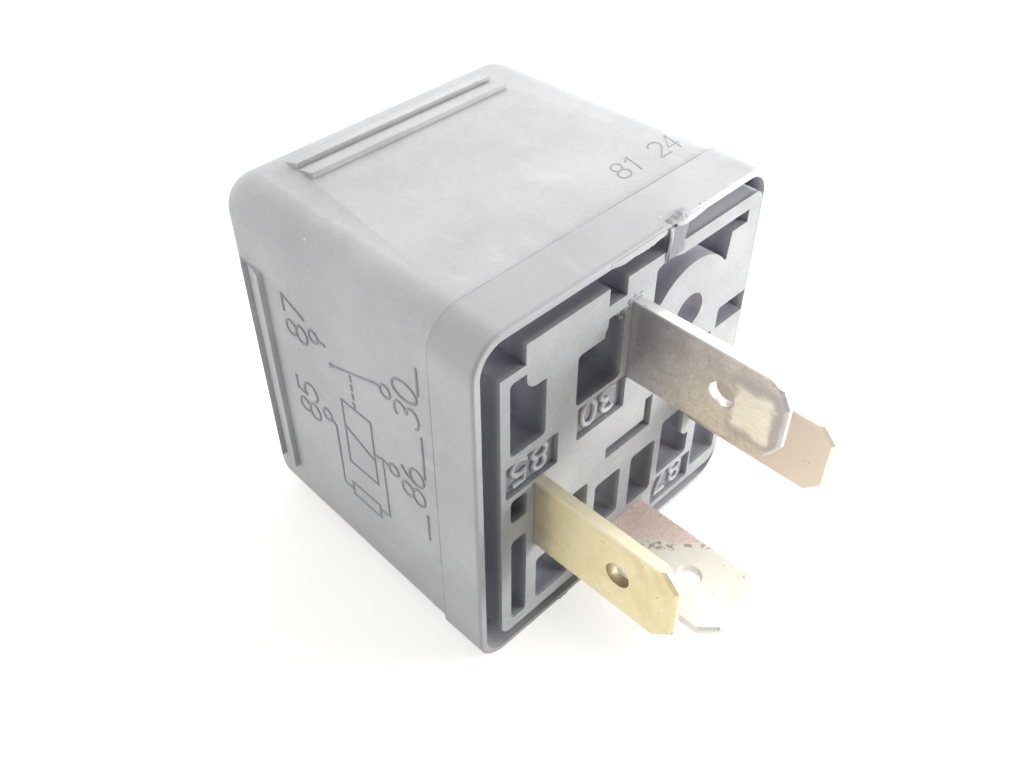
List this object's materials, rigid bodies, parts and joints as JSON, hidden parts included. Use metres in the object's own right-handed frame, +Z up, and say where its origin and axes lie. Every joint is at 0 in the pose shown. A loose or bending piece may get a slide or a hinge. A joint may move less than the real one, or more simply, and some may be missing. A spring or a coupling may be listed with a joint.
{
  "type": "automotive relay",
  "caption": "Plug-in power relay in a light grey moulded cover with finger ridges, with flat blade terminals on a moulded base, lying on its side.",
  "frame": {"origin": "centre of the bounding box at the surface the relay lies on", "axes": "-Y the way the blades point and plug in, +Z up as the relay lies, +X to the right when facing the blades"},
  "size_m": [0.0274, 0.0372, 0.0298],
  "materials": {
    "cover_plastic": "moulded, satin",
    "base_plastic": "moulded",
    "dull_blade": "dull tarnished tin plate",
    "brass_blade": "bare brass, scratched",
    "bright_blade": "tin plate, bright",
    "contact_silver": "bright",
    "spring_alloy": "rolled",
    "relay_iron": "zinc plated",
    "rivet_steel": "plain",
    "spool_plastic": "moulded",
    "copper_wire": "enamelled",
    "insulating_tape": "smooth",
    "spring_steel": "drawn",
    "resistor_coat": "lacquered",
    "tinned_wire": "tinned"
  },
  "bodies": {
    "housing": {"cover": "cover_plastic", "base": "base_plastic", "terminal_30": "dull_blade", "terminal_85": "brass_blade", "terminal_86": "brass_blade", "terminal_87": "bright_blade", "fixed_contact": "contact_silver", "yoke": "relay_iron", "core": "relay_iron", "bobbin": "spool_plastic", "coil_winding": "copper_wire", "coil_tape": "insulating_tape", "return_spring": "spring_steel", "back_stop": "spring_alloy", "resistor": "resistor_coat", "resistor_lead_left": "tinned_wire", "resistor_lead_right": "tinned_wire", "coil_lead_left": "copper_wire", "coil_lead_right": "copper_wire", "braid": "copper_wire"},
    "armature": {"armature": "relay_iron", "contact_leaf": "spring_alloy", "moving_contact": "contact_silver", "armature_rivet_left": "rivet_steel", "armature_rivet_right": "rivet_steel"}
  },
  "joints": [
    {"name": "armature_hinge", "type": "hinge", "parent": "housing", "child": "armature", "pos_m": [0, 0.01335, 0.0246], "axis": [-1, 0, 0], "range_deg": [0, 3], "stiffness_Nm_per_rad": 0.02, "springref_deg": -20.05, "deforming": ["return_spring", "braid"]}
  ]
}
